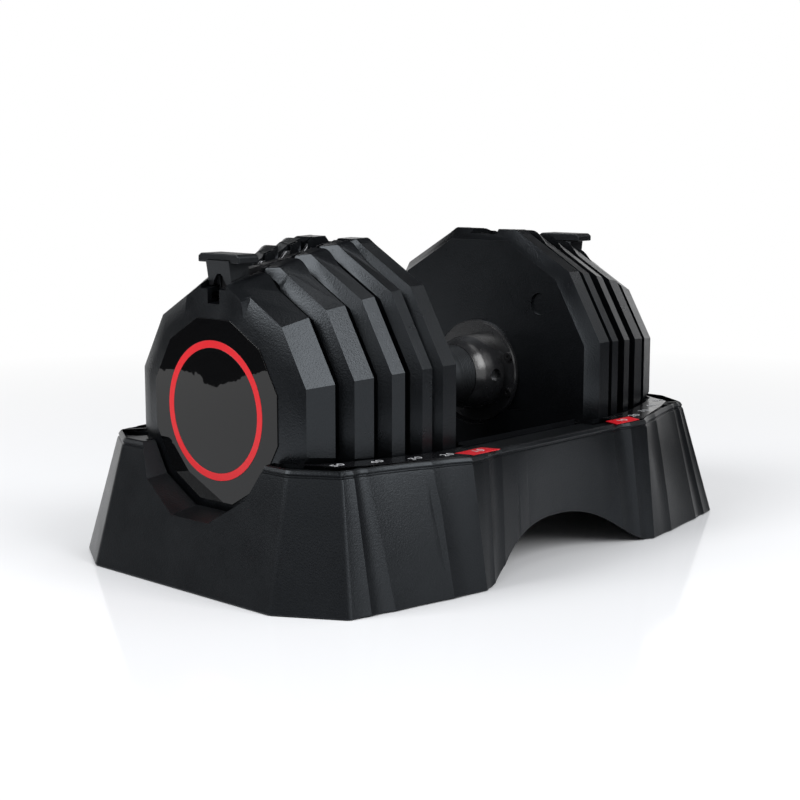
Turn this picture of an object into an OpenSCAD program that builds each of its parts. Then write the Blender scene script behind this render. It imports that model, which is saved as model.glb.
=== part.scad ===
// Adjustable dumbbell in its storage tray, in millimetres.
// X runs along the handle, -Y is the front of the tray, +Z is up.
// The origin is on the floor under the middle of the handle.
// Each head is drawn on the +X side with its distance from the middle as u, then mirrored for the left.

/* [Weight plates] */
// Height of the handle axis above the floor
axis_z = 104.3; // [104:0.1:106]
// Across-flats radius of the largest plate, the one fixed to the handle
plate_r = 100; // [98:0.5:102]
// Clear length of the handle between the two heads
grip_gap = 132.6; // [132:0.2:133.4]
// Thickness of the plastic skin over each iron core
skin = 3; // [2:0.5:4]

/* [Selector] */
// Fall of the selector rail towards the outside, in degrees
rail_tilt = 9.25; // [9:0.25:9.5]
// Thickness of the rail bar
rail_w = 6; // [5:0.5:6.5]
// Depth of the rail bar
rail_h = 10; // [8:0.5:10]
// Width of the thumb tab
tab_w = 37; // [34:1:40]
// Thickness of the thumb tab
tab_t = 5.4; // [3:0.2:6]

/* [Handle] */
// Outside diameter of the grip
grip_d = 33; // [30:0.5:36]
// Diameter of the steel shaft
shaft_d = 22; // [18:0.5:24]
// Diameter of the collar flange
flange_d = 73; // [68:1:76]
// Thickness of the collar flange
flange_t = 3; // [2.5:0.5:5]

/* [Badge] */
// Across-flats radius of the gloss end badge
badge_r = 55.4; // [53:0.2:57]
// Outside radius of the coloured ring
ring_r = 42.6; // [40:0.2:45]
// Width of the coloured ring
ring_w = 4.5; // [3:0.1:6]

/* [Tray] */
// Height of the tray deck
deck_z = 80.2; // [79:0.2:82]
// Wall thickness of the tray
wall = 3.2; // [2.4:0.2:4]
// Space left around each plate in its pocket
pocket_gap = 0.8; // [0.6:0.1:1]
// Half length of the hand recess between the heads
recess_x = 60; // [57:1:60]
// Half width of the hand recess
recess_y = 90.6; // [86:0.2:92]
// Height of the floor of the hand recess
recess_z = 42; // [40:1:46]

/* [Hidden] */

$fn = 64;
face_u = grip_gap / 2;

// Rings of each plate from its outer face inwards: [distance from the middle, across-flats radius].
// Plate 0 is the outermost and plate 4 is fixed to the handle.
RINGS = [
  [[179, 62.3], [174.1, 73.8], [157, 80.1], [157, 61], [152, 61]],
  [[150.7, 76.8], [146.3, 85.2], [133.2, 88.2], [133.2, 69], [127.2, 69]],
  [[126.2, 84.6], [121.4, 91.6], [112.4, 93.7], [112.4, 71], [105.5, 71]],
  [[104.8, 90.8], [100.4, 96.9], [92.5, 97.6], [92.5, 73], [90, 73]],
  [[89.6, 93.9], [85.4, plate_r], [74, plate_r + 0.4], [69.7, plate_r - 4.4], [face_u, plate_r - 7]]
];
// Shoulders on top of each plate: [slope radius and top height at the outer face, top height at the
// bevel, top height at the back, half width at the bevel, half width of the hump at the back]
SHOULDERS = [
  [71.2, 180.2, 181.8, 187.6, 28, 25.5],
  [79.2, 189.2, 190, 194.8, 31, 29.5],
  [84.5, 195.3, 196.7, 200, 32, 31.5],
  [90.1, 200.3, 201.5, 203.9, 33, 32.6],
  [94.8, 201.8, 204.5, 204.9, 34, 0]
];
// Iron cores: [outer end, back of the wide disc, its across-flats radius, back of the hub, its radius]
CORES = [
  [177 - skin, 157 + skin, 71, 152 + skin, 61 - skin],
  [149.5 - skin, 133.2 + skin, 81.8, 127.2 + skin, 69 - skin],
  [125 - skin, 112.4 + skin, 87.3, 105.5 + skin, 71 - skin],
  [104.2 - skin, 92.5 + skin, 92, 90 + skin, 73 - skin],
  [86.5, 75.5, 92.5, 75.5, 92.5]
];
// Where the slider stands for each plate
STOPS = [166.8, 142.5, 121.5, 101.5, 82];

slider_len = 15;
stem_w = 20.8;
stem_top = 9.4;
slot_w = 23;
throat_w = 10.6;
foot_w = 22;
foot_len = 9;
rail_out = 169.5;
rail_in = 72;
rail_foot_z = axis_z + 41.4;
hanger_t = 2.5;
hanger_y = 12;
hanger_in = 5.6;
hanger_tip = 4.4;
hanger_drop = 8;
SHOULDER_STEPS = 6;
RISE_STEPS = 3;

recess_wall = 3;
end_wall_u = 181;
port_r = 63.2;
port_inner_r = 59.2;
tray_bottom = 0.6;
end_gap = 1.2;
collar_gap = 1.5;

PLASTIC = [0.09, 0.09, 0.1];
STEEL = [0.72, 0.73, 0.75];
IRON = [0.3, 0.3, 0.31];
RED = [0.8, 0.06, 0.08];

// ---------- shared shapes ----------

// Height of the top of the selector rail at distance u
function rail_z(u) = axis_z + 81.9 + (STOPS[0] - u) * tan(rail_tilt);

// Corner radius of a regular twelve-sided outline with across-flats radius r
function corner(r) = r / cos(15);

// The twelve corners of a ring at distance u
function ring_points(u, r) = [
  for (i = [0:11]) [u, corner(r) * cos(15 + 30 * i), axis_z + corner(r) * sin(15 + 30 * i)]
];

module on_side(side) {
  if (side < 0) {
    mirror([1, 0, 0]) children();
  } else {
    children();
  }
}

// Flat outline turned so that its X is the part's Y and its Y is the part's Z, from u0 to u1
module along_x(u0, u1) {
  translate([u0, 0, 0]) rotate([90, 0, 90]) linear_extrude(u1 - u0) children();
}

// Flat outline in X and Z, with its thickness w centred on the middle plane
module across_y(w) {
  translate([0, w / 2, 0]) rotate([90, 0, 0]) linear_extrude(w) children();
}

module twelve_sided(r) {
  translate([0, axis_z]) rotate(15) circle(r = corner(r), $fn = 12);
}

// Solid through a list of rings
module ring_body(rings) {
  n = len(rings);
  points = [for (q = rings) each ring_points(q[0], q[1])];
  sides = [
    for (k = [0:n - 2], i = [0:11])
      let (j = (i + 1) % 12)
        [12 * k + j, 12 * (k + 1) + j, 12 * (k + 1) + i, 12 * k + i]
  ];
  first_cap = [for (i = [11:-1:0]) i];
  last_cap = [for (i = [0:11]) 12 * (n - 1) + i];
  polyhedron(points, concat([first_cap], sides, [last_cap]));
}

// Height of the upper slanting facet of radius r at distance y from the middle plane
function facet_z(r, y) = axis_z + (r - y / 2) / cos(30);

// Half outline of a shoulder: level at h up to y0, eased down to the facet of radius r by y1, with a
// foot at [y1 + out, drop under the facet] that ends inside the plate
function shoulder_outline(r, h, y0, y1, foot) = concat(
  [
    for (i = [0:SHOULDER_STEPS])
      let (t = i / SHOULDER_STEPS, y = y0 + (y1 - y0) * t, ease = t * t * (3 - 2 * t))
        [y, h + (facet_z(r, y) - h) * ease]
  ],
  [for (f = foot) [y1 + f[0], facet_z(r, y1 + f[0]) - f[1]]]
);

// Outline with its level top cut off by the slope of the facet, where there is no hump
function slope_outline(r, h, w) =
  let (meet = 2 * (r - (h - axis_z) * cos(30)))
  shoulder_outline(r, h, meet - 4, meet + 4, [[w - meet - 5.5, 0], [w - meet - 4, 1], [w - meet - 2, 11]]);

function hump_outline(r, h, w) = shoulder_outline(r, h, w - 6, w + 9, [[0.5, 0.5], [1, 1.5], [2, 4]]);

// Outline between two others, t of the way from a to b
function between(a, b, t) = [for (i = [0:len(a) - 1]) a[i] + (b[i] - a[i]) * t];

// Both halves of an outline, placed at distance u
function section(u, half) = concat(
  [for (i = [len(half) - 1:-1:0]) [u, -half[i][0], half[i][1]]], [for (p = half) [u, p[0], p[1]]]
);

// Raised shoulder along the top of a plate, from its outer face over the bevel to its back
module shoulder(k) {
  q = RINGS[k];
  s = SHOULDERS[k];
  proud = 0.15;
  bevel = slope_outline(q[1][1] + proud, s[2], s[4]);
  back = s[5] > 0 ? hump_outline(q[2][1], s[3], s[5]) : slope_outline(q[2][1] + proud, s[3], s[4]);
  points = concat(
    section(q[0][0], slope_outline(s[0], s[1], s[4] - 3)),
    [
      for (m = [0:RISE_STEPS])
        let (t = m / RISE_STEPS)
          each section(q[1][0] + (q[2][0] - q[1][0]) * t, between(bevel, back, t))
    ]
  );
  n = 2 * len(bevel);
  last = RISE_STEPS + 1;
  sides = [
    for (m = [0:last - 1], i = [0:n - 1])
      let (j = (i + 1) % n, a = m * n, b = a + n)
        each [[b + i, b + j, a + j], [b + i, a + j, a + i]]
  ];
  first_cap = [for (i = [0:n - 1]) i];
  last_cap = [for (i = [n - 1:-1:0]) last * n + i];
  polyhedron(points, concat([first_cap], sides, [last_cap]));
}

// Band that follows the rail between two heights measured from the rail's top
module rail_band(u0, u1, low, high, w) {
  across_y(w) polygon([
    [u0, rail_z(u0) + low], [u1, rail_z(u1) + low], [u1, rail_z(u1) + high], [u0, rail_z(u0) + high]
  ]);
}

// Slot that the rail and slider run through: throat, undercut for the slider's feet, and wide upper slot
module selector_slot(u_in, u_out, feet_out) {
  rail_band(u_in, u_out, -15.5, 60, throat_w);
  rail_band(u_in, feet_out, -13.8, -9.6, foot_w + 1.4);
  rail_band(u_in, u_out, -6.7, 60, slot_w);
}

// ---------- weight plates ----------

module core_solid(k) {
  c = CORES[k];
  difference() {
    union() {
      along_x(c[1], c[0]) twelve_sided(c[2]);
      if (c[3] < c[1]) along_x(c[3], c[1] + 1) twelve_sided(c[4]);
    }
    along_x(c[3] - 1, c[0] + 1) translate([-17, axis_z + 55]) square([34, 60]);
    if (k == 4) {
      along_x(c[3] - 1, c[0] + 1) translate([0, axis_z]) circle(r = 22);
      along_x(c[3] - 1, c[0] + 1) translate([-17, axis_z + 38]) square([34, 60]);
    }
  }
}

// Distance and height of the hooks that rest on plate k
function hook_back(k) = RINGS[k][2][0];
function hook_z(k) = SHOULDERS[k][3] - hanger_drop;

// Notch at the back of a plate's shoulder where the hooks of the next plate rest
module hook_notch(k) {
  for (side = [-1, 1]) {
    translate([hook_back(k) - 1, side * (hanger_y + 1.2) - 1.95, hook_z(k) - 2.4]) cube([6.8, 3.9, 30]);
  }
}

// Seat of the hooks in their own plate, from the plate's outer face
module hook_seat(k) {
  for (side = [-1, 1]) {
    middle = side * (hanger_y + hanger_t / 2);
    translate([RINGS[k][0][0] - hanger_in, middle - hanger_t / 2, hook_z(k - 1) - 2]) {
      cube([hanger_in + 4, hanger_t, 30]);
    }
  }
}

module plate_shell(k) {
  difference() {
    union() {
      ring_body(RINGS[k]);
      shoulder(k);
    }
    core_solid(k);
    if (k == 0) selector_slot(100, 190, 175.4);
    if (k > 0 && k < 4) selector_slot(60, 190, 190);
    if (k < 4) hook_notch(k);
    if (k > 0) hook_seat(k);
    if (k == 4) inner_plate_cuts();
  }
}

// The inner plate's slot stops short of its inside face, and the rail's foot sits in a pocket
module inner_plate_cuts() {
  selector_slot(71, 100, 100);
  translate([74, -13, rail_foot_z - 0.4]) cube([20, 26, 50]);
  along_x(60, 100) translate([0, axis_z]) circle(r = shaft_d / 2 + 0.05);
  along_x(78.5, 100) translate([0, axis_z]) circle(r = 19);
  for (side = [-1, 1]) {
    along_x(face_u - 1, face_u + 1.5) translate([side * 54.5, axis_z + 51]) circle(r = 7.5);
  }
}

// Steel hooks that carry a plate on its outer neighbour
module hanger(k) {
  inner = RINGS[k][0][0] - hanger_in;
  u = hook_back(k - 1);
  z = hook_z(k - 1);
  color(STEEL) for (side = [-1, 1]) {
    translate([0, side * (hanger_y + hanger_t / 2), 0]) across_y(hanger_t) polygon([
      [inner, z - 2], [u + hanger_tip, z - 2], [u + hanger_tip, z],
      [u, z], [u - 4.5, z + 4.5], [inner, z + 4.5]
    ]);
  }
}

module plate(k) {
  color(PLASTIC) plate_shell(k);
}

module core(k) {
  color(IRON) core_solid(k);
}

// ---------- end badge ----------

badge_u = RINGS[0][0][0];

module badge() {
  color([0.03, 0.03, 0.035]) difference() {
    along_x(badge_u, badge_u + 0.8) twelve_sided(badge_r);
    along_x(badge_u + 0.4, badge_u + 2) translate([0, axis_z]) ring_outline();
  }
}

module ring_outline() {
  difference() {
    circle(r = ring_r, $fn = 96);
    circle(r = ring_r - ring_w, $fn = 96);
  }
}

module badge_ring() {
  color(RED) along_x(badge_u + 0.4, badge_u + 0.9) translate([0, axis_z]) ring_outline();
}

// ---------- handle ----------

shaft_half = 85.3;
nut_u = 78.6;

module handle_shaft() {
  color(STEEL) difference() {
    along_x(-shaft_half, shaft_half) translate([0, axis_z]) circle(r = shaft_d / 2);
    for (side = [-1, 1]) {
      translate([side * shaft_half, 0, axis_z]) rotate([0, 90, 0]) cylinder(d = 6, h = 8, center = true);
    }
  }
}

module shaft_nuts() {
  color(STEEL) for (side = [-1, 1]) on_side(side) {
    along_x(nut_u, nut_u + 6) translate([0, axis_z]) difference() {
      circle(r = 17, $fn = 6);
      circle(r = shaft_d / 2 + 0.05);
    }
  }
}

collar_len = 26.6;
bell_r = 26.5;
sleeve_half = face_u - collar_len;
bore_r = shaft_d / 2 + 0.05;
ridge_count = 8;
ridge_pitch = 1.7;
ridge_r = 20.7;
screw_circle = 32.8;
SCREW_ANGLES = [67.5, 112.5, 247.5, 292.5];
set_screw_u = face_u - 11.3;
set_screw_d = 9;

// Straight grip with a ridged swell at each end
module grip_sleeve() {
  ridge_start = sleeve_half - ridge_count * ridge_pitch;
  color([0.12, 0.12, 0.13]) translate([0, 0, axis_z]) rotate([0, 90, 0]) for (side = [0, 1]) {
    mirror([0, 0, side]) rotate_extrude() polygon(concat(
      [[bore_r, 0], [grip_d / 2, 0], [grip_d / 2, ridge_start - 5], [ridge_r - 0.6, ridge_start]],
      [for (i = [0:ridge_count - 1]) each [
        [ridge_r, ridge_start + (i + 0.3) * ridge_pitch], [ridge_r, ridge_start + (i + 0.7) * ridge_pitch],
        [ridge_r - 0.6, ridge_start + (i + 1) * ridge_pitch]
      ]],
      [[bore_r, sleeve_half]]
    ));
  }
}

// Bell-shaped collar: flange against the plate, shoulder, then a taper down to the grip
module collar() {
  color([0.14, 0.14, 0.15]) translate([0, 0, axis_z]) rotate([0, 90, 0]) difference() {
    rotate_extrude() polygon([
      [bore_r, face_u - collar_len], [bell_r - 5.6, face_u - collar_len], [bell_r - 4.2, face_u - 24.6],
      [bell_r - 2.4, face_u - 21], [bell_r - 1.1, face_u - 16], [bell_r - 0.3, face_u - 12.5],
      [bell_r, face_u - flange_t], [flange_d / 2 - 0.8, face_u - flange_t],
      [flange_d / 2, face_u - flange_t + 0.8], [flange_d / 2, face_u], [bore_r, face_u]
    ]);
    for (a = SCREW_ANGLES) {
      rotate(a) translate([screw_circle, 0, face_u - flange_t - 1]) cylinder(d = 3.4, h = flange_t + 2);
    }
    translate([0, 0, set_screw_u]) rotate([90, 0, 0]) cylinder(d = set_screw_d, h = 40);
  }
}

module flange_screws() {
  color(STEEL) translate([0, 0, axis_z]) rotate([0, 90, 0]) for (a = SCREW_ANGLES) {
    rotate(a) translate([screw_circle, 0, face_u]) rotate([180, 0, 0]) difference() {
      union() {
        translate([0, 0, 0]) cylinder(d = 3.3, h = flange_t);
        translate([0, 0, flange_t]) cylinder(d = 6.4, h = 1.8);
      }
      translate([0, 0, flange_t + 0.8]) cylinder(d = 2.6, h = 2, $fn = 6);
    }
  }
}

module collar_set_screws() {
  color(STEEL) for (side = [-1, 1]) on_side(side) {
    translate([set_screw_u, -shaft_d / 2 - 0.1, axis_z]) rotate([90, 0, 0]) difference() {
      cylinder(d = set_screw_d - 0.1, h = 10.5);
      translate([0, 0, 7.5]) cylinder(d = 5.4, h = 4, $fn = 6);
    }
  }
}

// ---------- selector ----------

module selector_rail() {
  color(STEEL) difference() {
    union() {
      rail_band(rail_in, rail_out, -rail_h, 0, rail_w);
      across_y(rail_w) polygon([
        [74, rail_foot_z + 4], [78, rail_foot_z + 4], [84, rail_z(84) - rail_h + 1],
        [rail_in, rail_z(rail_in) - rail_h + 1],
        [74, rail_z(74) - 15]
      ]);
      translate([74, -12.6, rail_foot_z]) cube([4, 25.2, 34]);
    }
    for (u = STOPS) {
      translate([u, 0, rail_z(u) + 1.2]) rotate([90, 0, 0]) cylinder(r = 2, h = 20, center = true);
    }
    for (side = [-1, 1]) {
      translate([70, side * 8, rail_foot_z + 8.6]) rotate([0, 90, 0]) cylinder(d = 5.1, h = 12);
    }
  }
}

module rail_bolts() {
  color(STEEL) for (side = [-1, 1]) {
    translate([74, side * 8, rail_foot_z + 8.6]) rotate([0, 90, 0]) cylinder(d = 5, h = 4);
    translate([78, side * 8, rail_foot_z + 8.6]) rotate([0, 90, 0]) cylinder(r = 4.2, h = 3.2, $fn = 6);
  }
}

// Parts of the slider are drawn with the rail's top at their own zero and X along the rail
module at_stop(u) {
  translate([u, 0, rail_z(u)]) rotate([0, rail_tilt, 0]) children();
}

// Fork that straddles the rail, with feet that run in the undercut of each plate
module slider() {
  color(PLASTIC) at_stop(STOPS[0]) difference() {
    union() {
      along_x(-slider_len / 2, slider_len / 2) translate([-stem_w / 2, -6]) square([stem_w, 6 + stem_top]);
      along_x(-foot_len / 2, foot_len / 2) translate([-4.8, -13.2]) square([9.6, 8]);
      along_x(-foot_len / 2, foot_len / 2) translate([-foot_w / 2, -13.2]) square([foot_w, 3]);
    }
    along_x(-20, 20) translate([-rail_w / 2 - 0.1, -20]) square([rail_w + 0.2, 20.1]);
    along_x(slider_len / 2 - 3, slider_len / 2 + 1) polygon([
      [-5.4, -8], [-5.4, -5], [-1.6, 1.4], [1.6, 1.4], [5.4, -3], [8, -8]
    ]);
    along_x(-slider_len / 2 + 2, slider_len / 2 - 2.4) translate([-3.1, -1]) square([6.2, 4]);
  }
}

// Thumb tab with bevelled ends, level with the floor
module slider_tab() {
  z = axis_z + 88.7;
  l = 16;
  color(PLASTIC) difference() {
    translate([STOPS[0], 0, 0]) hull() {
      translate([-l / 2, -tab_w / 2 + 2.4, z]) cube([l, tab_w - 4.8, tab_t]);
      translate([-l / 2, -tab_w / 2, z]) cube([l, tab_w, tab_t - 1.6]);
    }
    at_stop(STOPS[0]) along_x(-slider_len / 2, slider_len / 2) {
      translate([-stem_w / 2, -5]) square([stem_w, 5 + stem_top]);
    }
  }
}

// Leaf spring riding on top of the rail inside the slider
module detent_spring() {
  color(STEEL) at_stop(STOPS[0]) across_y(5.6) polygon([
    [-5, 2.4], [-2.2, 1.1], [-1, 0.3], [1, 0.3], [2.2, 1.1], [4.6, 2.4], [4.6, 2.9], [2, 1.6], [0.8, 0.8],
    [-0.8, 0.8], [-2, 1.6], [-5, 2.9]
  ]);
}

// ---------- storage tray ----------

// Quarter outlines of the tray at the deck and at the floor, corner by corner from the end
DECK = [
  [191.5, 75.5], [174.3, 102.8], [150.2, 107.5], [123.4, 116], [102.5, 123.5], [89.6, 128.5], [80.6, 128.5],
  [64.7, 124.5], [56, 124], [46, 124], [36, 124], [24, 124], [8, 124]
];
FOOT = [
  [212.2, 81], [187.6, 121.9], [161.4, 127.6], [137.6, 131.7], [114.7, 135.7], [97.7, 138.7], [87.5, 139],
  [76, 135.6], [62, 132.5], [50, 129], [38, 125.5], [24, 122.5], [8, 120.5]
];

function whole(q) = concat(
  q, [for (i = [len(q) - 1:-1:0]) [-q[i][0], q[i][1]]],
  [for (p = q) [-p[0], -p[1]]], [for (i = [len(q) - 1:-1:0]) [q[i][0], -q[i][1]]]
);

// Solid between an outline at z0 and a matching one at z1
module tapered_body(low, high, z0, z1) {
  a = whole(low);
  b = whole(high);
  n = len(a);
  points = concat([for (p = a) [p[0], p[1], z0]], [for (p = b) [p[0], p[1], z1]]);
  sides = [for (i = [0:n - 1]) let (j = (i + 1) % n) each [[i, n + i, j], [j, n + i, n + j]]];
  polyhedron(points, concat([[for (i = [0:n - 1]) i]], sides, [[for (i = [n - 1:-1:0]) n + i]]));
}

// Outline of the tray wall at height z, moved in by t
function wall_outline(z, t) = [
  for (i = [0:len(FOOT) - 1]) FOOT[i] + (DECK[i] - FOOT[i]) * z / deck_z - [t, t]
];

// Block with the tray's sloping sides moved in by t, level at the bottom and top
module tray_block(t, bottom, top) {
  intersection() {
    tapered_body(wall_outline(-10, t), wall_outline(deck_z + 10, t), -10, deck_z + 10);
    translate([-300, -300, bottom]) cube([600, 600, top - bottom]);
  }
}

// Widest radius of a plate
function rim_r(k) = max([for (q = RINGS[k]) q[1]]);
function space_out(k) = RINGS[k][0][0] + pocket_gap;
function space_in(k) = k == 4 ? face_u - 0.4 : RINGS[k][2][0] - pocket_gap;

// Lower part of a twelve-sided outline
module trough(r) {
  intersection() {
    twelve_sided(r);
    translate([-120, -10]) square([240, 150]);
  }
}

// Space around the outermost plate, which follows its bevels, moved out by t
module outer_space(t) {
  r = [for (q = RINGS[0]) q[1] + t];
  ring_body([
    [end_wall_u + 1, r[0]], [RINGS[0][0][0] + t / 3, r[0]],
    [RINGS[0][1][0] + t / 3, r[1]], [space_in(0), r[2]]
  ]);
}

// Spaces that one head's plates take in the tray, with clearance
module plate_spaces() {
  outer_space(end_gap);
  for (k = [1:4]) along_x(space_in(k), space_out(k)) trough(rim_r(k) + pocket_gap);
  for (k = [0:3]) along_x(space_out(k + 1) - 1, space_in(k) + 1) trough(RINGS[k][3][1] + pocket_gap);
}

// Profile of the hollow under each long side of the tray, from its top to one foot
ARCH = [
  [7, 29.3], [15.5, 28.7], [24.8, 27.1], [32.9, 25], [41.2, 22], [48.7, 18.4], [54.9, 14.8], [61.9, 10.5],
  [70, 5.4], [76.9, 2], [86, -1]
];

module arch_cut() {
  half = [for (i = [len(ARCH) - 1:-1:0]) [-ARCH[i][0], ARCH[i][1]]];
  across_y(400) polygon(concat(half, ARCH));
}

// Round-cornered hand recess between the heads
module recess_block(grow) {
  translate([-recess_x - grow, -recess_y - grow, recess_z - grow])
    cube([2 * (recess_x + grow), 2 * (recess_y + grow), 60]);
}

// Opening through an end wall that shows the badge
module end_port() {
  ring_body([[215, port_r + 2.4], [end_wall_u - 1, port_inner_r]]);
}

module end_port_frame() {
  ring_body([[215, port_r + 5.6], [end_wall_u, port_inner_r + 3.2]]);
}

FOOT_SPOTS = [[164, 94], [106, 112]];
foot_r = 8;
foot_t = 3;

module each_foot() {
  for (p = FOOT_SPOTS, sx = [-1, 1], sy = [-1, 1]) translate([sx * p[0], sy * p[1], 0]) children();
}

module base_tray() {
  color([0.07, 0.07, 0.075]) difference() {
    union() {
      difference() {
        tray_block(0, tray_bottom, deck_z);
        tray_block(wall, -1, deck_z - wall);
      }
      intersection() {
        tray_block(wall / 2, tray_bottom + 1, deck_z - wall / 2);
        union() {
          recess_block(recess_wall);
          for (side = [-1, 1]) on_side(side) end_port_frame();
          each_foot() translate([0, 0, foot_t]) cylinder(r = foot_r, h = 100);
        }
      }
    }
    recess_block(0);
    for (side = [-1, 1]) on_side(side) {
      collar_notch();
      end_port();
      deck_opening();
      each_ear() cylinder(r = 2, h = 1.8);
    }
    arch_cut();
  }
}

// Half-round notch at each end of the recess for the handle's collar
module collar_notch() {
  along_x(recess_x - 1, face_u) translate([0, axis_z]) circle(r = flange_d / 2 + collar_gap);
}

// The deck is open over the pockets
module deck_opening() {
  intersection() {
    plate_spaces();
    translate([60, -120, 20]) cube([150, 240, 80]);
  }
}

cradle_wall = 2.6;
cradle_bottom = 1.2;
cradle_top = deck_z - wall;
cradle_in = face_u - 0.4 - cradle_wall;
CRADLE_EARS = [[82, 107], [141, 94]];

module each_ear() {
  for (p = CRADLE_EARS, side = [-1, 1]) translate([p[0], side * p[1], cradle_top]) children();
}

// Stepped pocket that holds one head's plates apart, with ears screwed up into the deck
module cradle() {
  color([0.1, 0.1, 0.11]) difference() {
    intersection() {
      union() {
        outer_space(end_gap + cradle_wall);
        for (k = [1:4]) {
          along_x(space_in(k) - cradle_wall, space_out(k) + 5) trough(rim_r(k) + pocket_gap + cradle_wall);
        }
        each_ear() translate([0, 0, -4]) cylinder(r = 6, h = 5);
      }
      translate([cradle_in, -120, cradle_bottom]) {
        cube([end_wall_u - cradle_in, 240, cradle_top - cradle_bottom]);
      }
    }
    plate_spaces();
    along_x(60, face_u + 5) translate([-recess_y + 1, recess_z]) square([2 * recess_y - 2, 60]);
    each_ear() cylinder(r = 2.05, h = 20, center = true);
  }
}

module cradle_screws() {
  color(STEEL) for (side = [-1, 1]) on_side(side) each_ear() {
    translate([0, 0, -6]) cylinder(r = 3.6, h = 2);
    translate([0, 0, -4.5]) cylinder(r = 2, h = 6.3);
  }
}

module rubber_feet() {
  color([0.15, 0.15, 0.15]) each_foot() cylinder(r = foot_r, h = foot_t);
}

// Printed strip on the deck with a red panel for the lightest setting
module label() {
  color([0.02, 0.02, 0.02]) translate([0, 0, deck_z]) linear_extrude(0.4) polygon([
    [74, -103], [93.5, -103], [107.5, -100], [123.5, -95.6], [137.5, -90.8], [150.5, -86], [156.5, -83.2],
    [171, -76.8], [177.5, -68.5], [165.9, -94], [145.2, -103.6], [120.4, -113], [100.5, -120.5],
    [91.5, -124.5], [74, -124.5]
  ]);
}

base_tray();
on_side(-1) cradle();  // cradle_left
on_side(1) cradle();  // cradle_right
cradle_screws();
rubber_feet();
on_side(-1) label();  // label_left
on_side(1) label();  // label_right
handle_shaft();
shaft_nuts();
grip_sleeve();
on_side(-1) collar();  // collar_left
on_side(1) collar();  // collar_right
on_side(-1) flange_screws();  // flange_screws_left
on_side(1) flange_screws();  // flange_screws_right
collar_set_screws();
on_side(-1) plate(4);  // inner_plate_left
on_side(1) plate(4);  // inner_plate_right
on_side(-1) core(4);  // inner_core_left
on_side(1) core(4);  // inner_core_right
on_side(-1) plate(0);  // outer_plate_left
on_side(1) plate(0);  // outer_plate_right
on_side(-1) core(0);  // outer_core_left
on_side(1) core(0);  // outer_core_right
on_side(-1) plate(1);  // second_plate_left
on_side(1) plate(1);  // second_plate_right
on_side(-1) core(1);  // second_core_left
on_side(1) core(1);  // second_core_right
on_side(-1) plate(2);  // third_plate_left
on_side(1) plate(2);  // third_plate_right
on_side(-1) core(2);  // third_core_left
on_side(1) core(2);  // third_core_right
on_side(-1) plate(3);  // fourth_plate_left
on_side(1) plate(3);  // fourth_plate_right
on_side(-1) core(3);  // fourth_core_left
on_side(1) core(3);  // fourth_core_right
on_side(-1) badge();  // badge_left
on_side(1) badge();  // badge_right
on_side(-1) badge_ring();  // badge_ring_left
on_side(1) badge_ring();  // badge_ring_right
on_side(-1) hanger(1);  // hanger_second_left
on_side(1) hanger(1);  // hanger_second_right
on_side(-1) hanger(2);  // hanger_third_left
on_side(1) hanger(2);  // hanger_third_right
on_side(-1) hanger(3);  // hanger_fourth_left
on_side(1) hanger(3);  // hanger_fourth_right
on_side(-1) hanger(4);  // hanger_inner_left
on_side(1) hanger(4);  // hanger_inner_right
on_side(-1) selector_rail();  // selector_rail_left
on_side(1) selector_rail();  // selector_rail_right
on_side(-1) rail_bolts();  // rail_bolts_left
on_side(1) rail_bolts();  // rail_bolts_right
on_side(-1) slider();  // slider_left
on_side(1) slider();  // slider_right
on_side(-1) slider_tab();  // slider_tab_left
on_side(1) slider_tab();  // slider_tab_right
on_side(-1) detent_spring();  // detent_spring_left
on_side(1) detent_spring();  // detent_spring_right
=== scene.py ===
"""Looks of the adjustable dumbbell in its storage tray, in metres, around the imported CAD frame."""
import math

import bmesh
import bpy
from mathutils import Matrix, Vector


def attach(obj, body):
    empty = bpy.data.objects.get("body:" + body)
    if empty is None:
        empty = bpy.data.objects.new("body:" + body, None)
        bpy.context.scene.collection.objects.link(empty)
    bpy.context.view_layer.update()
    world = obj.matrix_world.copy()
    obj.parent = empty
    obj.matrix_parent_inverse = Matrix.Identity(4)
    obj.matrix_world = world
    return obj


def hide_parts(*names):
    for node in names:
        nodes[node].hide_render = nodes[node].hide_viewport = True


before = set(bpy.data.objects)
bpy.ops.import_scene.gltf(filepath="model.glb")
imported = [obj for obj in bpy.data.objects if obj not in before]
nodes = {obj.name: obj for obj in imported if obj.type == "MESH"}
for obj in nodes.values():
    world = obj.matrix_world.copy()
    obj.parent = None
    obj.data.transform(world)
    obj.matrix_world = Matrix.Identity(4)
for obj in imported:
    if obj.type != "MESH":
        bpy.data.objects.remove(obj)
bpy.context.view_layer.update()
scene = bpy.context.scene
MM = 0.001

# ---------- camera ----------

CAMERA_AT = Vector((-785.9, -714.0, 256.4)) * MM
CAMERA_AZIMUTH = -47.17
CAMERA_ELEVATION = 8.89
CAMERA_LENS = 70.52


def direction(azimuth, elevation):
    """Unit vector towards an azimuth counted from the front, and an elevation, in degrees."""
    a, e = math.radians(azimuth), math.radians(elevation)
    return Vector((math.sin(a) * math.cos(e), -math.cos(a) * math.cos(e), math.sin(e)))


def make_camera():
    back = direction(CAMERA_AZIMUTH, CAMERA_ELEVATION)
    data = bpy.data.cameras.new("camera")
    data.lens = CAMERA_LENS
    data.sensor_width = 36
    data.clip_start, data.clip_end = 0.01, 50
    cam = bpy.data.objects.new("camera", data)
    cam.location = CAMERA_AT
    cam.rotation_euler = back.to_track_quat("Z", "Y").to_euler()
    scene.collection.objects.link(cam)
    scene.camera = cam


# ---------- light ----------

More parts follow.
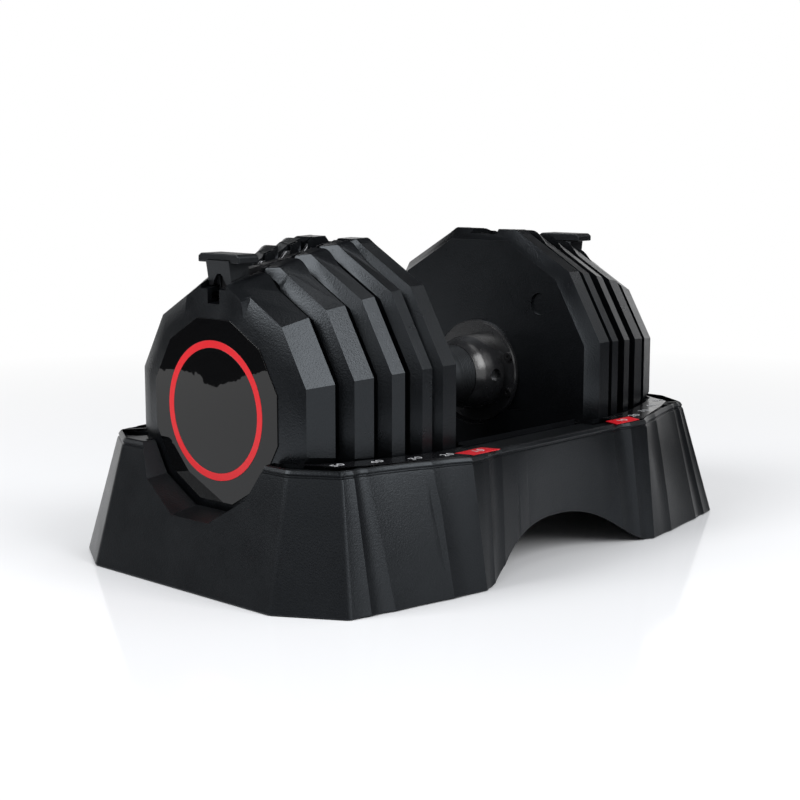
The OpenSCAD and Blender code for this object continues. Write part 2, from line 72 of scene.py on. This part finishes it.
ROOM_COLOR = (0.97, 0.98, 1, 1)
ROOM_STRENGTH = 0.3
LAMPS_AIM = Vector((0, 0, 0.1))
CLOTH_CENTRE = Vector((-0.22, 0.18, 0))
CLOTH_Z = 0.004
CEILING_Z = 2.1


def softbox(name, azimuth, elevation, distance, size, radiance):
    """Rectangular area lamp seen from LAMPS_AIM at an azimuth, an elevation and a distance."""
    data = bpy.data.lights.new(name, "AREA")
    data.shape = "RECTANGLE"
    data.size, data.size_y = size
    data.energy = radiance * math.pi * size[0] * size[1]
    lamp = bpy.data.objects.new(name, data)
    lamp.location = LAMPS_AIM + distance * direction(azimuth, elevation)
    lamp.rotation_euler = (lamp.location - LAMPS_AIM).to_track_quat("Z", "Y").to_euler()
    scene.collection.objects.link(lamp)


def dark_cloth(name, start, end, profile, notch=None):
    """Dark cloth between two azimuths along a profile of [radius, height], only for reflections.

    notch is an azimuth, a half width in degrees and how far the first edge reaches in there."""
    steps = end - start
    points = []
    for row, (reach, height) in enumerate(profile):
        for k in range(steps + 1):
            radius = reach
            if notch and not row:
                radius -= notch[2] * math.exp(-((start + k - notch[0]) / notch[1]) ** 2)
            at = CLOTH_CENTRE + radius * direction(start + k, 0)
            points.append((at.x, at.y, height))
    faces = []
    for row in range(len(profile) - 1):
        for k in range(steps):
            near = row * (steps + 1) + k
            far = near + steps + 1
            faces.append((far, far + 1, near + 1, near))
    mesh = bpy.data.meshes.new(name)
    mesh.from_pydata(points, [], faces)
    mesh.materials.append(DARK_CLOTH)
    cloth = bpy.data.objects.new(name, mesh)
    scene.collection.objects.link(cloth)
    for ray in ("camera", "diffuse", "transmission", "shadow"):
        setattr(cloth, "visible_" + ray, False)


def make_world():
    """Dim room for diffuse light, and a white page behind everything that is seen or mirrored."""
    world = bpy.data.worlds.new("studio")
    scene.world = world
    world.use_nodes = True
    tree = world.node_tree
    tree.nodes.clear()
    out = tree.nodes.new("ShaderNodeOutputWorld")
    mix = tree.nodes.new("ShaderNodeMixShader")
    room = tree.nodes.new("ShaderNodeBackground")
    room.inputs["Color"].default_value = ROOM_COLOR
    room.inputs["Strength"].default_value = ROOM_STRENGTH
    page = tree.nodes.new("ShaderNodeBackground")
    page.inputs["Color"].default_value = (1, 1, 1, 1)
    path = tree.nodes.new("ShaderNodeLightPath")
    seen = None
    for ray in ("Is Camera Ray", "Is Glossy Ray", "Is Transmission Ray"):
        if seen is None:
            seen = path.outputs[ray]
            continue
        either = tree.nodes.new("ShaderNodeMath")
        either.operation = "MAXIMUM"
        tree.links.new(seen, either.inputs[0])
        tree.links.new(path.outputs[ray], either.inputs[1])
        seen = either.outputs[0]
    tree.links.new(seen, mix.inputs["Fac"])
    tree.links.new(room.outputs[0], mix.inputs[1])
    tree.links.new(page.outputs[0], mix.inputs[2])
    tree.links.new(mix.outputs[0], out.inputs["Surface"])


# ---------- materials ----------

class Shader:
    """A principled material with short calls for its procedural nodes."""

    def __init__(self, name, color, rough, **sockets):
        self.material = bpy.data.materials.new(name)
        self.material.use_nodes = True
        self.tree = self.material.node_tree
        self.bsdf = self.tree.nodes["Principled BSDF"]
        self.bsdf.inputs["Base Color"].default_value = (*color, 1)
        self.bsdf.inputs["Roughness"].default_value = rough
        for key, value in sockets.items():
            self.bsdf.inputs[key.replace("_", " ")].default_value = value
        self.place = self.node("TexCoord").outputs["Object"]

    def node(self, kind, **values):
        made = self.tree.nodes.new("ShaderNode" + kind)
        for key, value in values.items():
            setattr(made, key, value)
        return made

    def link(self, source, target):
        self.tree.links.new(source, target)

    def stretched(self, scale):
        mapping = self.node("Mapping")
        mapping.inputs["Scale"].default_value = scale
        self.link(self.place, mapping.inputs["Vector"])
        return mapping.outputs["Vector"]

    def noise(self, scale, detail=2.0, rough=0.5, place=None):
        made = self.node("TexNoise")
        made.inputs["Scale"].default_value = scale
        made.inputs["Detail"].default_value = detail
        made.inputs["Roughness"].default_value = rough
        self.link(place or self.place, made.inputs["Vector"])
        return made.outputs["Fac"]

    def cells(self, scale):
        made = self.node("TexVoronoi", feature="SMOOTH_F1")
        made.inputs["Scale"].default_value = scale
        self.link(self.place, made.inputs["Vector"])
        return made.outputs["Distance"]

    def spread(self, source, low, high, start=0.3, end=0.7):
        made = self.node("MapRange")
        limits = {"From Min": start, "From Max": end, "To Min": low, "To Max": high}
        for key, value in limits.items():
            made.inputs[key].default_value = value
        self.link(source, made.inputs["Value"])
        return made.outputs["Result"]

    def combine(self, operation, a, b):
        made = self.node("Math", operation=operation)
        for socket, value in zip(made.inputs, (a, b)):
            if isinstance(value, (int, float)):
                socket.default_value = value
            else:
                self.link(value, socket)
        return made.outputs[0]

    def blend(self, fac, first, second):
        made = self.node("Mix", data_type="RGBA")
        self.link(fac, made.inputs["Factor"])
        for socket, value in ((made.inputs[6], first), (made.inputs[7], second)):
            if isinstance(value, tuple):
                socket.default_value = (*value, 1)
            else:
                self.link(value, socket)
        return made.outputs[2]

    def bump(self, height, distance, strength=1.0, under=None):
        made = self.node("Bump")
        made.inputs["Strength"].default_value = strength
        made.inputs["Distance"].default_value = distance
        self.link(height, made.inputs["Height"])
        if under is not None:
            self.link(under, made.inputs["Normal"])
        return made.outputs["Normal"]

    def edges(self, start, end):
        """1 along convex edges, 0 elsewhere."""
        return self.spread(self.node("NewGeometry").outputs["Pointiness"], 0, 1, start, end)

    def set(self, **sockets):
        for key, source in sockets.items():
            self.link(source, self.bsdf.inputs[key.replace("_", " ")])
        return self.material


def scaled(color, factor):
    return tuple(min(1, c * factor) for c in color)


def moulded_plastic(name, color, rough, grain, depth, level):
    """Injection-moulded plastic: fine spark-eroded grain, flow clouds and small rubbed patches."""
    s = Shader(name, color, rough, Specular_IOR_Level=level, Specular_Tint=(0.84, 0.92, 1, 1))
    clouds = s.noise(38, 4, 0.6)
    grains = s.combine("ADD", s.cells(grain), s.noise(grain * 1.7, 2))
    patchy_mask = s.spread(s.noise(9, 5, 0.65), 0, 1, 0.56, 0.7)
    tinted = s.blend(s.spread(clouds, 0, 1), scaled(color, 0.85), scaled(color, 1.2))
    speckled = s.blend(s.spread(grains, 0, 0.5, 0.5, 1.1), tinted, scaled(color, 1.9))
    cloudy = s.spread(clouds, rough - 0.03, rough + 0.03)
    ripple = s.bump(s.noise(26, 2), 0.0006, 0.12)
    worn = s.combine("SUBTRACT", cloudy, s.combine("MULTIPLY", patchy_mask, 0.03))
    return s.set(Base_Color=speckled, Roughness=worn, Normal=s.bump(grains, depth, 1.0, ripple))


def gloss_plastic(name, color, rough):
    """Polished plastic with faint orange peel and fine dust."""
    s = Shader(name, color, rough, Specular_IOR_Level=0.45)
    dust = s.spread(s.noise(1400, 2), 0, 1, 0.66, 0.8)
    smear = s.spread(s.noise(30, 3), rough, rough * 1.6)
    return s.set(Base_Color=s.blend(dust, color, scaled(color, 1.6)), Roughness=smear,
                 Normal=s.bump(s.noise(90, 2), 0.0001, 0.25))


def film(name, color, rough):
    """Printed film laid on the deck: smooth, with faint ink mottling."""
    s = Shader(name, color, rough, Specular_IOR_Level=0.45)
    ink = s.spread(s.noise(500, 3), 0, 1)
    return s.set(Base_Color=s.blend(ink, color, scaled(color, 1.25)),
                 Roughness=s.spread(s.noise(120, 3), rough - 0.04, rough + 0.06),
                 Normal=s.bump(s.noise(160, 2), 0.00008, 0.3))


def coated_metal(name, color, rough, metallic, level):
    """Powder-coated metal: fine orange peel, and a painted edge highlight that makes convex edges
    lighter in noisy patches.
    """
    s = Shader(name, color, rough, Metallic=metallic, Specular_IOR_Level=level)
    peel = s.noise(900, 2)
    # Painted edge highlight: the base colour goes up to three times lighter along convex edges,
    # broken up by noise
    patchy_mask = s.combine("MULTIPLY", s.edges(0.53, 0.66), s.spread(s.noise(300, 3), 0, 1))
    return s.set(Base_Color=s.blend(patchy_mask, color, scaled(color, 3)),
                 Roughness=s.spread(s.noise(60, 3), rough - 0.05, rough + 0.06),
                 Normal=s.bump(peel, 0.00012, 0.5))


def plated_steel(name, color, rough):
    """Zinc-plated steel with drawn lines along it and cloudy plating."""
    s = Shader(name, color, rough, Metallic=1.0)
    lines = s.noise(700, 2, 0.5, s.stretched((0.08, 1, 1)))
    plating = s.noise(150, 4)
    return s.set(Base_Color=s.blend(s.spread(plating, 0, 1), scaled(color, 0.75), color),
                 Roughness=s.spread(lines, rough - 0.06, rough + 0.1),
                 Normal=s.bump(lines, 0.00004, 0.5))


def cast_iron(name, color):
    s = Shader(name, color, 0.7, Metallic=0.4)
    sand = s.combine("ADD", s.noise(600, 4, 0.7), s.cells(300))
    return s.set(Base_Color=s.blend(s.spread(s.noise(80, 4), 0, 1), scaled(color, 0.7), color),
                 Roughness=s.spread(sand, 0.6, 0.85, 0.5, 1.2), Normal=s.bump(sand, 0.0003, 0.8))


def soft_rubber(name, color):
    s = Shader(name, color, 0.75, Specular_IOR_Level=0.25)
    pores = s.noise(1500, 3)
    skin = s.blend(s.spread(s.noise(90, 3), 0, 1), scaled(color, 0.8), scaled(color, 1.3))
    return s.set(Base_Color=skin, Roughness=s.spread(pores, 0.68, 0.82),
                 Normal=s.bump(pores, 0.0001, 0.6))


def plain_cloth(name, color):
    """Matt cloth with an open back, so that the floor under it keeps its own reflections."""
    s = Shader(name, color, 1, Specular_IOR_Level=0)
    s.set(Base_Color=s.blend(s.spread(s.noise(40, 3), 0, 1), scaled(color, 0.8), color))
    mix = s.node("MixShader")
    s.link(s.node("NewGeometry").outputs["Backfacing"], mix.inputs["Fac"])
    s.link(s.bsdf.outputs["BSDF"], mix.inputs[1])
    s.link(s.node("BsdfTransparent").outputs["BSDF"], mix.inputs[2])
    s.link(mix.outputs["Shader"], s.tree.nodes["Material Output"].inputs["Surface"])
    return s.material


# Distances from the object between which the floor runs out into the white page, in metres
PAGE_FROM, PAGE_FULL = 0.36, 1.05


def studio_floor(name, color):
    """Pale sweep with a faint satin reflection, which runs out into the white page far away."""
    s = Shader(name, color, 0.1, Specular_IOR_Level=0.09)
    s.set(Base_Color=s.blend(s.spread(s.noise(3, 3), 0, 1), scaled(color, 0.995), color),
          Roughness=s.spread(s.noise(14, 3), 0.08, 0.12))
    away = s.node("VectorMath", operation="LENGTH")
    s.link(s.place, away.inputs[0])
    path = s.node("LightPath")
    seen = s.combine("MAXIMUM", path.outputs["Is Camera Ray"], path.outputs["Is Glossy Ray"])
    seen = s.combine("MAXIMUM", seen, path.outputs["Is Transmission Ray"])
    page = s.node("Emission")
    mix = s.node("MixShader")
    far = s.spread(away.outputs["Value"], 0, 1, PAGE_FROM, PAGE_FULL)
    s.link(s.combine("MULTIPLY", far, seen), mix.inputs["Fac"])
    s.link(s.bsdf.outputs["BSDF"], mix.inputs[1])
    s.link(page.outputs["Emission"], mix.inputs[2])
    s.link(mix.outputs["Shader"], s.tree.nodes["Material Output"].inputs["Surface"])
    return s.material


DARK_CLOTH = plain_cloth("dark_cloth", (0.05, 0.05, 0.052))
TRAY = moulded_plastic("tray_moulding", (0.0026, 0.0029, 0.0035), 0.34, 1000, 0.00006, 0.33)
PLATE = moulded_plastic("plate_moulding", (0.0026, 0.0029, 0.0035), 0.3, 1000, 0.00008, 0.42)
SLIDER = moulded_plastic("slider_moulding", (0.004, 0.0041, 0.0045), 0.4, 900, 0.00006, 0.42)
GRIP = moulded_plastic("grip_moulding", (0.004, 0.0041, 0.0045), 0.5, 1200, 0.00006, 0.42)
GLOSS = gloss_plastic("badge_gloss", (0.0016, 0.0017, 0.002), 0.012)
RED = gloss_plastic("red_enamel", (0.74, 0.010, 0.018), 0.28)
LABEL = film("label_film", (0.005, 0.005, 0.006), 0.22)
RED_FILM = film("red_film", (0.55, 0.010, 0.018), 0.3)
INK = film("white_ink", (0.5, 0.51, 0.53), 0.4)
COLLAR = coated_metal("collar_coating", (0.014, 0.0145, 0.016), 0.26, 0, 0.8)
STEEL = plated_steel("zinc_plate", (0.42, 0.43, 0.45), 0.3)
BLACK_STEEL = coated_metal("black_oxide", (0.03, 0.03, 0.032), 0.34, 0.8, 0.5)
IRON = cast_iron("iron_casting", (0.1, 0.1, 0.105))
RUBBER = soft_rubber("foot_rubber_skin", (0.02, 0.02, 0.021))
FLOOR = studio_floor("floor_sweep", (0.885, 0.895, 0.915))

LOOK = {
    "tray_plastic": TRAY,
    "plate_plastic": PLATE,
    "slider_plastic": SLIDER,
    "grip_plastic": GRIP,
    "gloss_black": GLOSS,
    "ring_red": RED,
    "label_black": LABEL,
    "collar_metal": COLLAR,
    "iron": IRON,
    "steel": STEEL,
    "foot_rubber": RUBBER,
}
DARK_STEEL_NODES = ("selector_rail", "flange_screws", "rail_bolts")

# ---------- surface dressing ----------

def smooth_by_angle(limit):
    """Node group that drops stored normals and shades smooth except across sharp edges."""
    group = bpy.data.node_groups.new("smooth_by_angle_%d" % limit, "GeometryNodeTree")
    group.interface.new_socket("Geometry", in_out="INPUT", socket_type="NodeSocketGeometry")
    group.interface.new_socket("Geometry", in_out="OUTPUT", socket_type="NodeSocketGeometry")
    add = group.nodes.new
    start, end = add("NodeGroupInput"), add("NodeGroupOutput")
    bare = add("GeometryNodeRemoveAttribute")
    bare.inputs["Name"].default_value = "custom_normal"
    whole = add("GeometryNodeSetShadeSmooth")
    whole.domain = "FACE"
    whole.inputs["Shade Smooth"].default_value = True
    angle = add("GeometryNodeInputMeshEdgeAngle")
    sharp = add("FunctionNodeCompare")
    sharp.data_type, sharp.operation = "FLOAT", "GREATER_THAN"
    sharp.inputs[1].default_value = math.radians(limit)
    parted = add("GeometryNodeSetShadeSmooth")
    parted.domain = "EDGE"
    parted.inputs["Shade Smooth"].default_value = False
    link = group.links.new
    link(start.outputs[0], bare.inputs["Geometry"])
    link(bare.outputs["Geometry"], whole.inputs["Geometry"])
    link(angle.outputs["Unsigned Angle"], sharp.inputs[0])
    link(sharp.outputs["Result"], parted.inputs["Selection"])
    link(whole.outputs["Geometry"], parted.inputs["Geometry"])
    link(parted.outputs["Geometry"], end.inputs[0])
    return group


WELD_REACH = 1e-6
FLAT_ANGLE = 0.15
SMOOTH = smooth_by_angle(24)
# The flutes of the tray's walls meet at shallow angles
SMOOTH_FINE = smooth_by_angle(9)


def dress(obj, width, segments=2, angle=24, smooth=SMOOTH, join=True):
    """Joins the flat facets, shades them by angle and rounds the sharp edges."""
    weld = obj.modifiers.new("weld", "WELD")
    weld.merge_threshold = WELD_REACH
    if join:
        flat = obj.modifiers.new("flat", "DECIMATE")
        flat.decimate_type = "DISSOLVE"
        flat.angle_limit = math.radians(FLAT_ANGLE)
    shade = obj.modifiers.new("shade", "NODES")
    shade.node_group = smooth
    if width <= 0:
        return
    edge = obj.modifiers.new("edge", "BEVEL")
    edge.width = width
    edge.segments = segments
    edge.limit_method = "ANGLE"
    edge.angle_limit = math.radians(angle)
    edge.harden_normals = True
    edge.use_clamp_overlap = True


def edge_width(name):
    """Radius of the moulded or turned edges of a node."""
    if "plate" in name:
        return 1.2 * MM
    if "core" in name or "cradle_" in name:
        return 0.5 * MM
    if "slider" in name:
        return 0.7 * MM
    if "badge_" in name:
        return 0.15 * MM
    if "hanger" in name or "rail" in name or "screws" in name or "nuts" in name:
        return 0.2 * MM
    if "collar" in name:
        return 0.4 * MM
    if "label" in name:
        return 0
    return 0.3 * MM


def dress_nodes():
    for name, obj in nodes.items():
        slot = obj.material_slots[0]
        look = LOOK[slot.material.name]
        slot.material = BLACK_STEEL if name.startswith(DARK_STEEL_NODES) else look
        dress(obj, edge_width(name), 3 if "plate" in name else 2)


# ---------- pieces ----------

def add_piece(name, mesh, material, body):
    obj = bpy.data.objects.new(name, mesh)
    scene.collection.objects.link(obj)
    mesh.materials.clear()
    mesh.materials.append(material)
    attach(obj, body)
    return obj


def closed_loft(name, rings):
    """Mesh through a list of closed rings with the same number of points."""
    bm = bmesh.new()
    rows = [[bm.verts.new(p) for p in ring] for ring in rings]
    n = len(rows[0])
    for low, high in zip(rows, rows[1:]):
        for i in range(n):
            j = (i + 1) % n
            bm.faces.new((low[i], low[j], high[j], high[i]))
    bm.faces.new(reversed(rows[0]))
    bm.faces.new(rows[-1])
    bmesh.ops.recalc_face_normals(bm, faces=bm.faces)
    mesh = bpy.data.meshes.new(name)
    bm.to_mesh(mesh)
    bm.free()
    return mesh


# Quarter outlines of the tray at its deck and at the floor, from the end towards the middle, in mm
DECK = [(191.5, 0), (191.5, 75.5), (174.3, 102.8), (150.2, 107.5), (123.4, 116), (102.5, 123.5),
        (89.6, 128.5), (80.6, 128.5), (64.7, 124.5), (56, 124), (46, 124), (36, 124), (24, 124),
        (8, 124), (0, 124)]
FOOT = [(212.2, 0), (212.2, 81), (187.6, 121.9), (161.4, 127.6), (137.6, 131.7), (114.7, 135.7),
        (97.7, 138.7), (87.5, 139), (76, 135.6), (62, 132.5), (50, 129), (38, 125.5), (24, 122.5),
        (8, 120.5), (0, 120.5)]
# Arrises of the long walls in mm: distance at the deck and at the floor, depth of the next flute
ARRISES = [(174.3, 187.6, 0.4), (166.5, 173, 1.0), (157, 156.7, 0.6), (115.8, 114.2, 1.2),
           (90.7, 88.2, 0.8), (74.1, 77, 0.7), (58, 63, 0.4), (40, 44, 0), (0, 0, 0)]
FLUTE_STEPS = 6
DECK_Z = 80.2
# Profile of the walls from the floor to the rim, in mm: height, distance that they are set in
WALL_PROFILE = [(0.6, 0.8), (1.2, 0.6), (27, 0.6), (53, 0.6), (74, 0.6), (75.6, 0.7), (76.1, 1.4),
                (76.8, 1.4), (77.4, 0.7), (78, 0.6), (79.6, 1.3), (DECK_Z, 2.2)]


def between(low, high, t):
    """Point t of the way from one point to another."""
    return tuple(a + (b - a) * t for a, b in zip(low, high))


def wall_at(t, u):
    """Half width of the long wall at distance u, t of the way from the floor to the deck."""
    points = [between(f, d, t) for f, d in zip(FOOT, DECK)]
    for (x1, y1), (x0, y0) in zip(points[2:], points[3:]):
        if u >= x0 - 1e-6:
            return y0 + (y1 - y0) * (u - x0) / (x1 - x0)
    return points[-1][1]


def quarter(z, inset):
    """A quarter of the tray's outline at height z, from the end's corner to the front's middle."""
    t = z / DECK_Z
    end = (between(FOOT[0], DECK[0], t)[0] - inset, 60)
    corner = between(FOOT[1], DECK[1], t)
    corner = (corner[0] - inset, corner[1] - inset * 0.3)
    front = []
    for (d0, f0, depth), (d1, f1, _) in zip(ARRISES, ARRISES[1:]):
        u0, u1 = f0 + (d0 - f0) * t, f1 + (d1 - f1) * t
        for step in range(FLUTE_STEPS):
            s = step / FLUTE_STEPS
            u = u0 + (u1 - u0) * s
            front.append((u, wall_at(t, u) - inset - depth * 4 * s * (1 - s)))
    front[0] = (front[0][0] - inset * 0.5, front[0][1])
    return rounded(end, corner, front[0]) + rounded(corner, front[0], front[1]) + front[1:]


def rounded(before, corner, after, reach=2.4, steps=7):
    """Points of a curve that replaces a corner of an outline."""
    start, end = (tuple(c + (p - c) * reach / math.dist(q, corner) for p, c in zip(q, corner))
                  for q in (before, after))
    return [tuple(a * (1 - t) ** 2 + 2 * c * t * (1 - t) + b * t * t
                  for a, c, b in zip(start, corner, end))
            for t in (k / steps for k in range(steps + 1))]


def tray_ring(z, inset):
    q = quarter(z, inset)
    middle = wall_at(z / DECK_Z, 0) - inset
    ring = [(x, -y) for x, y in q] + [(0, -middle)] + [(-x, -y) for x, y in reversed(q)]
    ring += [(-x, y) for x, y in q] + [(0, middle)] + [(x, y) for x, y in reversed(q)]
    return [Vector((x, y, z)) * MM for x, y in ring]


def make_tray():
    """The tray's own solid with fluted walls: the CAD solid cut to a fluted outline."""
    body = nodes["base_tray"].data.copy()
    body.name = "tray_body"
    bm = bmesh.new()
    bm.from_mesh(body)
    bmesh.ops.remove_doubles(bm, verts=bm.verts, dist=WELD_REACH)
    bm.to_mesh(body)
    bm.free()
    if "custom_normal" in body.attributes:
        body.attributes.remove(body.attributes["custom_normal"])
    tray = add_piece("tray_body", body, TRAY, "tray")
    rings = [tray_ring(z, inset) for z, inset in WALL_PROFILE]
    shape = bpy.data.objects.new("flutes", closed_loft("flutes", rings))
    scene.collection.objects.link(shape)
    cut = tray.modifiers.new("cut", "BOOLEAN")
    cut.operation = "INTERSECT"
    cut.solver = "EXACT"
    cut.object = shape
    depsgraph = bpy.context.evaluated_depsgraph_get()
    done = bpy.data.meshes.new_from_object(tray.evaluated_get(depsgraph))
    tray.modifiers.clear()
    tray.data = done
    bpy.data.objects.remove(shape)
    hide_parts("base_tray")
    dress(tray, 0.9 * MM, 3, 30, SMOOTH_FINE, join=False)


PRINT_Z = 80.66
NUMBER_SIZE = 7.4
NUMBER_WIDENING = 1.25
NUMBER_SPACING = 1.08
NUMBER_RELIEF = 0.04
# Number, distance from the middle and distance in front of the handle, in mm
NUMBERS = [("50", 163.8, 88.6), ("40", 141, 97.8), ("30", 118, 107.4), ("20", 97, 113.8),
           ("10", 75, 119)]
# Outline of the right panel behind the ten, in mm
RED_PANEL = [(61, -124.6), (86.5, -124.9), (90.5, -113.6), (65, -113)]


def number(name, text, at):
    """Printed number lying on the deck, read from the front."""
    curve = bpy.data.curves.new(name, "FONT")
    curve.body = text
    curve.size = NUMBER_SIZE * MM
    curve.align_x, curve.align_y = "CENTER", "CENTER"
    curve.extrude = NUMBER_RELIEF * MM
    curve.space_character = NUMBER_SPACING
    shape = bpy.data.objects.new(name, curve)
    scene.collection.objects.link(shape)
    depsgraph = bpy.context.evaluated_depsgraph_get()
    mesh = bpy.data.meshes.new_from_object(shape.evaluated_get(depsgraph))
    bpy.data.objects.remove(shape)
    widen = Matrix.Diagonal((NUMBER_WIDENING, 1, 1, 1))
    mesh.transform(Matrix.Translation(Vector(at) * MM) @ widen)
    add_piece(name, mesh, INK, "tray")


def red_panel(name, side):
    """Printed panel that lies on the deck."""
    rings = [[Vector((side * x, y, z)) * MM for x, y in RED_PANEL] for z in (DECK_Z, PRINT_Z)]
    add_piece(name, closed_loft(name, rings), RED_FILM, "tray")


def make_print():
    for side, word in ((-1, "left"), (1, "right")):
        for text, u, y in NUMBERS:
            number("number_%s_%s" % (text, word), text, (side * u, -y, PRINT_Z + 0.1))
        red_panel("red_panel_" + word, side)


# ---------- floor ----------

FLOOR_HALF = 30


def make_floor():
    mesh = bpy.data.meshes.new("floor")
    corners = [(x * FLOOR_HALF, y * FLOOR_HALF, 0) for x, y in ((-1, -1), (1, -1), (1, 1), (-1, 1))]
    mesh.from_pydata(corners, [], [(0, 1, 2, 3)])
    floor = bpy.data.objects.new("floor", mesh)
    scene.collection.objects.link(floor)
    mesh.materials.append(FLOOR)


make_camera()
make_world()
softbox("front_box", 5, 38, 1.9, (1.1, 1.3), 5.6)
softbox("back_left_box", -114, 42, 1.9, (1.0, 1.15), 6.6)
softbox("top_box", 66, 68, 1.9, (0.9, 0.9), 1.5)
dark_cloth("cloth_right", 26, 82, [(0.8, CLOTH_Z), (2.8, CLOTH_Z), (2.8, 1.2)])
dark_cloth("cloth_left", -112, -25, [(0.52, CLOTH_Z), (2.8, CLOTH_Z), (2.8, 0.8)])
dark_cloth("cloth_far_left", -175, -112, [(0.775, CLOTH_Z), (2.8, CLOTH_Z), (2.8, 0.8)],
           notch=(-132, 2.4, 0.15))
dark_cloth("cloth_back", 92, 188, [(3.2, 1.2), (3.2, CEILING_Z)])
dark_cloth("cloth_ceiling", 0, 360, [(3.2, CEILING_Z), (0.05, CEILING_Z)])
make_floor()
dress_nodes()
make_tray()
make_print()

scene.view_settings.view_transform = "Standard"
